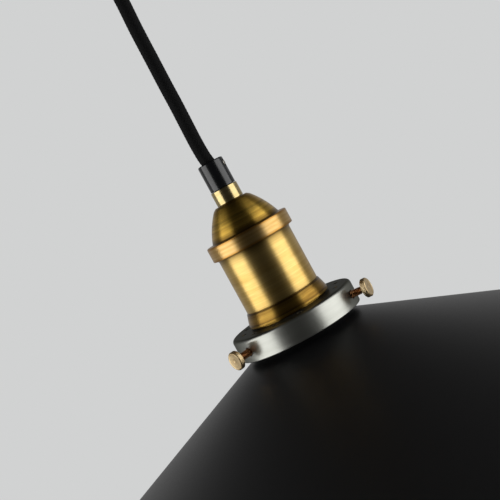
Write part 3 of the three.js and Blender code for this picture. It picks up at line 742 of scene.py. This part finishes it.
def makeHolder():
    size = holderSize
    turn = place(z=lampMouth, turnZ=math.radians(size["grubTurn"]))
    attach(finished(cordGrip("lampCordGrip", gripSize, turn), "satinBlackGrip"), "lamp", "black_grip",
           "lamp_cord_grip")
    attach(finished(grubScrew("lampGripScrew", gripSize, turn), "nickelPlate"), "lamp", "nickel",
           "lamp_grip_screw")
    radius, high, low = size["collar"]
    collar = lathe("collar", [(size["nipple"], low), (radius, low, 0.3), (radius, high, 0.45),
                              (size["nipple"], high)],
                   sides=144, steps=6, lift=lampMouth)
    attach(finished(collar, "paleBrass"), "lamp", "pale_brass", "collar")

    low, high = zOf("holder_nipple", 0), zOf("holder_nipple", 1)
    nipple = threadedTube("holderNipple", nippleSize, low, high)
    attach(finished(nipple, "zincPlate"), "lamp", "zinc_steel", "holder_nipple")

    top, foot, sheet = size["domeTop"], size["domeLow"], size["sheet"]
    flange, shoulder = foot - size["flangeDepth"], size["shoulder"]
    dome = lathe("domeCap", [
        (size["nipple"], top - sheet), (size["nipple"], top, 0.2), (size["domeTopRadius"], top, 0.5),
        *reversed(domeCurve(size, 0, foot, top - 1.0, 24)),
        (shoulder, flange + size["flangeHeight"], 0.1), (shoulder, flange, 0.1),
        (size["flangeBore"], flange, 0.1),
        *domeCurve(size, sheet, foot, top - 1.9, 16), (size["domeTopRadius"] - 0.3, top - sheet, 0.1),
    ], sides=192, steps=5, lift=lampMouth)
    attach(finished(dome, "domeBrass"), "lamp", "antique_brass", "dome_cap")

    radius, top, foot = size["ring"]
    thread, bore = size["ringThread"], size["ringBore"]
    ring = lathe("ringNut", [
        (thread, foot), (radius, foot, 0.75), (radius, top, 0.75), (bore, top, 0.2), (bore, top - 1, 0.2),
        (thread, top - 1, 0.2),
    ], sides=192, steps=6, lift=lampMouth)
    attach(finished(ring, "ringBrass"), "lamp", "ring_brass", "ring_nut")

    shell, foot, skirt, lip = size["shell"], size["shellLow"], size["skirt"], size["skirtLow"]
    bore, inner, top = size["skirtBore"], size["shellBore"], size["shellTop"]
    body = lathe("holderShell", [
        (inner, lip - 9.7), (bore, lip - 9.7, 0.3), (bore, lip + 0.5, 0.3), (skirt - 1.4, lip, 0.2),
        (skirt, lip, 0.35), (skirt, lip + 1.4, 0.5), (skirt - 0.45, lip + 3.2, 1),
        (shell + 0.5, foot + 0.1, 0.3), (shell - 0.25, foot, 0.15), (shell - 0.25, foot + 0.35, 0.15),
        (shell, foot + 0.6, 0.2), *run(shell, foot + 3, -46.5, 6), (shoulder, -45.2, 0.2),
        (shoulder, top, 0.2), (inner, top, 0.2),
    ], sides=192, steps=5, lift=lampMouth)
    finished(body, "antiqueBrass").data.materials.append(finishes["shadedSkirtBrass"])
    for face in body.data.polygons:  # the skirt takes the darker copy of the barrel's brass: partly painted shade
        if face.center.z < (lampMouth + foot + 0.1) * mm:
            face.material_index = 1
    attach(body, "lamp", "antique_brass", "holder_shell")


makeHolder()
print("lampholder made")

# socket and bulb
fitterTop = -84
capTop = fitterTop + 17
socketSize = {
    "radius": 18.4, "above": 14, "below": 9.3,  # above the bulb cap's top and below the fitter's
    "bore": 14.35, "rim": 15, "rimDepth": 4, "contactBore": 9, "wireBore": 3,
    "threadOuter": 14.05, "threadInner": 13.75, "threadDepth": 0.28, "threadRows": 84,
}
terminalPlaces = {"live": (-9.5, 3.5), "neutral": (9.5, 3.5), "earth": (0, -9.5)}  # on the socket's top
# globeEnd is the angle above level, in degrees, where the globe runs into the neck
bulbSize = {"cap": 13.25, "capLength": 25, "pitch": 3.629, "threadDepth": 0.9, "threadRows": 72,
            "globe": 30, "globeEnd": 44, "length": 104, "wall": 0.7, "neck": 14, "inCap": 12.2}


def makeSocket():
    size = socketSize
    top, foot = capTop + size["above"], fitterTop - size["below"]
    radius, bore, rim = size["radius"], size["bore"], size["rim"]
    contact, wire, step = size["contactBore"], size["wireBore"], foot + size["rimDepth"]
    body = lathe("socketBody", [
        (radius, foot, 0.8), (radius, top, 0.6), (wire, top, 0.4), (wire, capTop + 4, 0.3),
        (contact, capTop + 4, 0.3), (contact, capTop - 0.5, 0.3), (bore, capTop - 0.5, 0.2),
        (bore, step, 0.2), (rim, step, 0.2), (rim, foot, 0.6),
    ], sides=128, steps=5, lift=lampMouth)
    holes = [lathe("holeCutter", [(0, -6), (1.5, -6, 0), (1.5, 1, 0), (0, 1)], 0, 32,
                   turn=place(*spot, lampMouth + top)) for spot in terminalPlaces.values()]
    attach(finished(cutAway(body, holes), "glazedPorcelain"), "lamp", "porcelain", "socket_body")
    outer, inner = (run(size[key], capTop - 22, capTop - 1, size["threadRows"])
                    for key in ("threadOuter", "threadInner"))
    shell = lathe("socketScrewShell", [*outer, *reversed(inner)], 0, 96, lift=lampMouth,
                  relief=threadRelief(size["threadDepth"], bulbSize["pitch"]))
    attach(finished(shell, "turnedBrass"), "lamp", "screw_brass", "socket_screw_shell")
    for core, spot in terminalPlaces.items():
        screw = slottedScrew(f"{core}TerminalScrew", "terminal", place(*spot, lampMouth + top + 0.3))
        attach(finished(screw, "turnedBrass"), "lamp", "screw_brass", f"{core}_terminal_screw")


def makeBulb():
    size = bulbSize
    capLow = capTop - size["capLength"]
    tip = capTop - 0.2
    globeZ = tip - size["length"] + size["globe"]
    neckZ = capLow - 0.3

    def skin(inset, rows):
        globe = []
        for row in range(rows + 1):
            angle = math.radians(-90 + (size["globeEnd"] + 90) * row / rows)
            reach = size["globe"] - inset
            globe.append((0 if row == 0 else reach * math.cos(angle), globeZ + reach * math.sin(angle), 0))
        return globe + [(17 - inset, neckZ - 18, 6), (14.6 - inset, neckZ - 8, 4)]

    wall, neck, inCap = size["wall"], size["neck"], size["inCap"]
    glass = lathe("bulbGlass", [
        *skin(0, 40), (neck, neckZ, 0.5), (inCap, neckZ, 0.2), (inCap, capLow + 8, 0.1),
        (inCap - wall, capLow + 8, 0.1), (inCap - wall, neckZ - wall, 0.3), *reversed(skin(wall, 40)),
    ], sides=144, steps=6, lift=lampMouth)
    attach(finished(glass, "clearGlass"), "bulb", "clear_glass", "bulb_glass")
    stemLow = capLow - 26
    stem = lathe("bulbStem", [
        (0, stemLow), (1.6, stemLow, 1), (1.6, stemLow + 3, 1), (1.3, capLow - 12, 4), (1.6, capLow - 4, 4),
        (5, capLow + 4, 3), (5, capLow + 6, 0.4), (0, capLow + 6),
    ], sides=64, steps=6, lift=lampMouth)
    attach(finished(stem, "clearGlass"), "bulb", "clear_glass", "bulb_stem")
    makeFilament()

    side = size["cap"]
    cap = lathe("bulbCap", [
        (12.6, capLow, 0.1), (side, capLow, 0.2), *run(side, capLow + 1.5, tip - 7, size["threadRows"]),
        (side - 0.4, tip - 5.5, 0.6), (9.5, tip - 3, 0.8), (7.2, tip - 3, 0.1), (7.2, tip - 3.8, 0.1),
        (12.0, tip - 6.5, 0.1),
    ], 0.2, 96, lift=lampMouth, relief=only(
        threadRelief(size["threadDepth"], size["pitch"]),
        lambda radius, height: radius > 13.2 and capLow + 1.5 < height < tip - 6.9))
    attach(finished(cap, "nickelPlate"), "bulb_base", "nickel", "bulb_cap")
    insulator = lathe("bulbInsulator", [
        (3.2, tip - 4.2), (6.9, tip - 4.2, 0.1), (6.9, tip - 2.6, 0.4), (5.4, tip - 1.2, 0.3),
        (3.2, tip - 1.2),
    ], sides=64, lift=lampMouth)
    attach(finished(insulator, "blackGlass"), "bulb_base", "black_glass", "bulb_insulator")
    contact = lathe("bulbTip", [
        (0, tip - 3), (2.9, tip - 3, 0.2), (2.9, tip - 0.7, 0.6), (1.6, tip, 0.8), (0, tip),
    ], sides=48, lift=lampMouth)
    attach(finished(contact, "nickelPlate"), "bulb_base", "nickel", "bulb_tip")


def makeFilament():  # a zigzag of fine wire hung on the stem
    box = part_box("bulb_filament")
    low, high = box[0][2] / mm + 0.4, box[1][2] / mm - 0.4
    reach, turns, wire = 8, 9, 0.16
    points = []
    for corner in range(turns * 2 + 1):
        angle = 2 * math.pi * corner / (turns * 2 + 2)
        points.append((reach * math.cos(angle), reach * math.sin(angle), low if corner % 2 else high))
    filament = tubeMesh("bulbFilament", smoothPath(points, 1.2), wire, 8)
    attach(finished(filament, "tungstenWire"), "bulb", "tungsten", "bulb_filament")


def tubeMesh(name, path, radius, sides):
    build = bmesh.new()
    rings = []
    across = None
    for index, here in enumerate(path):
        ahead = (path[min(index + 1, len(path) - 1)] - path[max(index - 1, 0)]).normalized()
        if across is None:
            across = ahead.orthogonal().normalized()
        across = (across - ahead * across.dot(ahead)).normalized()
        other = ahead.cross(across)
        rings.append([build.verts.new(here + (across * math.cos(a) + other * math.sin(a)) * radius)
                      for a in (2 * math.pi * side / sides for side in range(sides))])
    for low, high in zip(rings, rings[1:]):
        for side in range(sides):
            near = (side + 1) % sides
            build.faces.new((low[side], low[near], high[near], high[side]))
    build.faces.new(rings[0])
    build.faces.new(rings[-1][::-1])
    return newPiece(name, build)


makeSocket()
makeBulb()
print("socket and bulb made")

# fitter, its ring nut and the thumb screws
fitterSize = {"radius": 33.35, "height": 12, "wall": 1.5, "edge": 2.2, "hole": 20, "vents": 12,
              "ventCircle": 26.5, "ventRadius": 1.35, "phase": 7.5, "screwPhase": 5, "studDepth": 6.3}
fitterNut = {"bore": 19.9, "radius": 24.6, "height": 4, "notches": 8}
thumbSize = {"angles": (-60, 60, 180), "tips": (27.4, 27.2, 27.3), "stud": 1.9, "length": 12.6,
             "pitch": 0.7, "head": 4.9, "thick": 2.9, "knurls": 54, "knurlDepth": 0.16, "gap": 0.3}


def makeFitter():
    size = fitterSize
    low = fitterTop - size["height"]
    inside = size["radius"] - size["wall"]
    cup = lathe("shadeFitter", [
        (inside, low, 0.3), (size["radius"], low, 0.5), (size["radius"], fitterTop, size["edge"]),
        (size["hole"], fitterTop, 0.3), (size["hole"], fitterTop - size["wall"], 0.3),
        (inside, fitterTop - size["wall"], 1.2),
    ], sides=240, steps=8, lift=lampMouth)
    holes = []
    rim, circle = size["ventRadius"], size["ventCircle"]
    ventOutline = [(0, -4), (rim, -4, 0), (rim, -0.25, 0), (rim + 0.35, 0.1, 0), (0, 0.1)]
    for index in range(size["vents"]):
        angle = math.radians(size["phase"] + 360 * index / size["vents"])
        spot = place(circle * math.sin(angle), -circle * math.cos(angle), lampMouth + fitterTop)
        holes.append(lathe("ventCutter", ventOutline, 0, 40, turn=spot))
    tap, face = thumbSize["stud"] + 0.3, size["radius"]
    tapOutline = [(0, 28), (tap, 28, 0), (tap, face - 0.25, 0), (tap + 0.4, face + 0.25, 0),
                  (0, face + 0.25)]
    for angle in thumbSize["angles"]:
        holes.append(lathe("tapCutter", tapOutline, 0, 48, turn=thumbPlace(angle)))
    cutAway(cup, holes)
    attach(finished(cup, "pewter"), "lamp", "pewter", "shade_fitter")

    top = fitterTop - size["wall"] - 0.3
    bore, radius, foot = fitterNut["bore"], fitterNut["radius"], top - fitterNut["height"]
    nut = lathe("fitterRingNut", [(bore, foot), (radius, foot, 0.4), (radius, top, 0.2), (bore, top)],
                sides=128, lift=lampMouth)
    notches = []
    for index in range(fitterNut["notches"]):
        spot = place(z=lampMouth + top - 2, turnZ=2 * math.pi * index / fitterNut["notches"])
        notches.append(bar("notchCutter", (3, 4, 10), spot @ place(y=radius + 1)))
    attach(finished(cutAway(nut, notches), "zincPlate"), "lamp", "zinc_steel", "fitter_ring_nut")


def thumbPlace(angle):  # a frame whose Z points out from the lamp's axis along one thumb screw
    height = lampMouth + fitterTop - fitterSize["studDepth"]
    return place(z=height, turnZ=math.radians(fitterSize["screwPhase"] + angle)) @ place(turnX=math.pi / 2)


def knurlRelief(spec):
    lead = 2 * math.pi * spec["head"] / spec["knurls"]

    def relief(radius, height, angle):
        if radius < spec["head"] - 0.02 or not 0.45 < height < spec["thick"] - 0.45:
            return 0
        across = spec["knurls"] * angle / (2 * math.pi)
        along = height / lead
        groove = max(abs(2 * ((across + sign * along) % 1) - 1) for sign in (1, -1))
        return -spec["knurlDepth"] * groove
    return relief


def makeThumbScrews():
    size = thumbSize
    length, stud, head, thick = (size[key] for key in ("length", "stud", "head", "thick"))
    thread = only(threadRelief(0.3, size["pitch"]),
                  lambda radius, height: radius > stud - 0.05 and 0.5 < height < length - 1.5)
    for index, (angle, tip) in enumerate(zip(size["angles"], size["tips"]), 1):
        bearing = thumbPlace(angle) @ place(z=tip)
        screw = lathe(f"thumbScrewStud{index}", [
            (0, 0), (stud - 0.5, 0, 0.1), (stud, 0.5, 0.1), *run(stud, 0.6, length - 1.6, 96),
            (stud - 0.35, length - 1.4, 0.1), (stud - 0.35, length + size["gap"] + 0.2, 0.1),
            (0, length + size["gap"] + 0.2),
        ], sides=64, relief=thread, turn=bearing)
        attach(finished(screw, "copperWash"), f"thumb_stud_{index}", "screw_brass",
               f"thumb_screw_stud_{index}")
        knob = lathe(f"thumbScrewHead{index}", [
            (0, 0), (2.6, 0, 0.1), (head - 0.5, 0.12, 0.15), (head, 0.5, 0),
            *run(head, 0.5, thick - 0.5, 16)[1:-1], (head, thick - 0.5, 0), (head - 0.55, thick, 0.2),
            (head - 0.9, thick, 0.15), (head - 1.15, thick - 0.1, 0.1), (0.5, thick - 0.2, 0.1),
            (0.25, thick - 0.28, 0.1), (0, thick - 0.28),
        ], sides=size["knurls"] * 6, relief=knurlRelief(size), turn=bearing @ place(z=length + size["gap"]))
        attach(finished(knob, "turnedBrass"), f"thumb_head_{index}", "screw_brass",
               f"thumb_screw_head_{index}")


makeFitter()
makeThumbScrews()
print("fitter and thumb screws made")

# shade
shadeSize = {"neck": 26.9, "lip": 29.3, "radius": 180, "slope": 23.4, "neckFillet": 5, "rimBend": 5,
             "rimDrop": 4.8, "bead": 1.6, "sheet": 1, "sides": 256}


def arc(centreR, centreZ, radius, start, end, rows):
    angles = [math.radians(start + (end - start) * row / rows) for row in range(rows + 1)]
    return [(centreR + radius * math.cos(a), centreZ + radius * math.sin(a), 0) for a in angles]


def makeShade():
    size = shadeSize
    slope = math.radians(size["slope"])
    lipTop = fitterTop - fitterSize["wall"] - 1.4
    filletZ = fitterTop - fitterSize["height"] + 1.5
    filletR = size["neck"] + size["neckFillet"]
    startR = filletR - size["neckFillet"] * math.sin(slope)
    startZ = filletZ - size["neckFillet"] * math.cos(slope)
    bendR = size["radius"] - size["rimBend"]
    endR = bendR + size["rimBend"] * math.sin(slope)
    endZ = startZ - (endR - startR) * math.tan(slope)
    bendZ = endZ - size["rimBend"] * math.cos(slope)
    rimZ = bendZ - size["rimDrop"]
    sheet, turn = size["sheet"], size["slope"]
    inside = [(size["neck"] - sheet, lipTop, 0.2),
              *arc(filletR, filletZ, size["neckFillet"] + sheet, 180, 270 - turn, 14),
              *arc(bendR, bendZ, size["rimBend"] - sheet, 90 - turn, 0, 8)]
    outside = [*arc(size["radius"] - size["bead"], rimZ, size["bead"], 135, 360, 20),
               *arc(bendR, bendZ, size["rimBend"], 0, 90 - turn, 10),
               *arc(filletR, filletZ, size["neckFillet"], 270 - turn, 180, 14),
               (size["neck"], lipTop - 1.2, 0.3), (size["lip"], lipTop - 1.2, 0.3),
               (size["lip"], lipTop, 0.3)]
    shade = lathe("lampShade", inside + outside, sides=size["sides"], lift=lampMouth)
    finished(shade, "blackPowderCoat")
    shade.data.materials.append(finishes["whiteEnamel"])
    innerRows = len(inside) - 1
    for face in shade.data.polygons:  # white enamel inside, up to the bead
        if face.index // size["sides"] < innerRows:
            face.material_index = 1
    attach(shade, "lamp", "black_metal", "lamp_shade")


makeShade()
print("shade made")

# CAD parts that stay take a proper finish
slotFinishes = {
    "zinc_steel": "zincPlate", "black_metal": "blackPowderCoat", "black_grip": "satinBlackGrip",
    "black_braid": "blackBraid", "antique_brass": "antiqueBrass", "ring_brass": "ringBrass",
    "pale_brass": "paleBrass", "pewter": "pewter", "screw_brass": "turnedBrass", "nickel": "nickelPlate",
    "porcelain": "glazedPorcelain", "nylon": "naturalNylon", "clear_glass": "clearGlass",
    "black_glass": "blackGlass", "tungsten": "tungstenWire", "brown_insulation": "brownInsulation",
    "blue_insulation": "blueInsulation", "green_insulation": "greenInsulation",
}
for part in frame["record"]["subparts"]:
    node = frame["nodes"][part["node"]]
    node.data.materials.clear()
    node.data.materials.append(finishes[slotFinishes[part["material_slot"]]])
print("CAD parts finished")

# studio: two tall soft boxes beside the lamp, pale floor far below
studio = {
    "backdrop": "#D1D2D2",
    "ambientFront": 0.025,
    "ambientBack": 0.38,
    "ambientTop": 0.03,
    "frontToBack": (-0.4, 0.8),  # how far forward and back the ambient light changes
    "overheadFade": (0.3, 0.72),
    "aim": 60,  # mm below the mouth of the lamp's cord grip, the middle of the soft boxes
    "boxes": [  # name, degrees from the front, then rise, distance, width and height in m, and watts
        ("softLeft", -72, 0.12, 1.2, 1.2, 1.7, 13.8),
        ("softRight", 68, 0.12, 1.2, 1.2, 1.7, 13.8),
    ],
    "floorDrop": 1.5, "floorReach": 2.2, "floorGlow": 0.9,
}


def makeStudio(spec):
    world = bpy.data.worlds.new("studioWorld")
    world.use_nodes = True
    tree = world.node_tree
    tree.nodes.clear()
    seen = addNode(tree, "ShaderNodeLightPath").outputs["Is Camera Ray"]
    direction = addNode(tree, "ShaderNodeTexCoord").outputs["Generated"]
    parts = addNode(tree, "ShaderNodeSeparateXYZ", {0: direction})
    level = remap(tree, parts.outputs[1], *spec["frontToBack"], spec["ambientFront"], spec["ambientBack"])
    overhead = remap(tree, parts.outputs[2], *spec["overheadFade"], 0.0, 1.0)
    fade = addNode(tree, "ShaderNodeMix", {0: overhead, 2: level, 3: spec["ambientTop"]}, data_type="FLOAT")
    near = addNode(tree, "ShaderNodeBackground", {"Color": linear("#FFFFFF"), "Strength": fade.outputs[0]})
    far = addNode(tree, "ShaderNodeBackground", {"Color": linear(spec["backdrop"]), "Strength": 1.0})
    mix = addNode(tree, "ShaderNodeMixShader", {0: seen, 1: near.outputs[0], 2: far.outputs[0]})
    addNode(tree, "ShaderNodeOutputWorld", {"Surface": mix.outputs[0]})
    bpy.context.scene.world = world
    bpy.context.scene.view_settings.view_transform = "Standard"
    centre = Vector((0, 0, lampMouth - spec["aim"])) * mm
    for name, angle, rise, reach, width, height, watts in spec["boxes"]:
        data = bpy.data.lights.new(name, "AREA")
        data.shape, data.size, data.size_y, data.energy = "RECTANGLE", width, height, watts
        lamp = bpy.data.objects.new(name, data)
        side = math.radians(angle)
        lamp.location = centre + Vector((math.sin(side) * reach, -math.cos(side) * reach, rise))
        lamp.rotation_euler = (math.pi / 2, 0, side)
        lamp.visible_camera = False
        bpy.context.collection.objects.link(lamp)
    build = bmesh.new()
    bmesh.ops.create_circle(build, cap_ends=True, segments=96, radius=spec["floorReach"] / mm)
    floor = newPiece("floor", build, place(z=lampMouth - spec["floorDrop"] / mm))
    floor.data.materials.append(coatedSurface("paleFloor", {
        "colour": "#D6D5D2", "second": "#D2D1CE", "third": "#CBCAC7", "grain": 4, "clouds": 400,
        "speckle": 0.3, "smooth": 0.7, "rough": 0.85, "bump": 0.1, "relief": 0.2},
        **{"Emission Color": linear(spec["backdrop"]), "Emission Strength": spec["floorGlow"]}))
    floor.visible_glossy = floor.visible_diffuse = False  # so that it doesn't light the lamp from below


makeStudio(studio)
print("studio made")
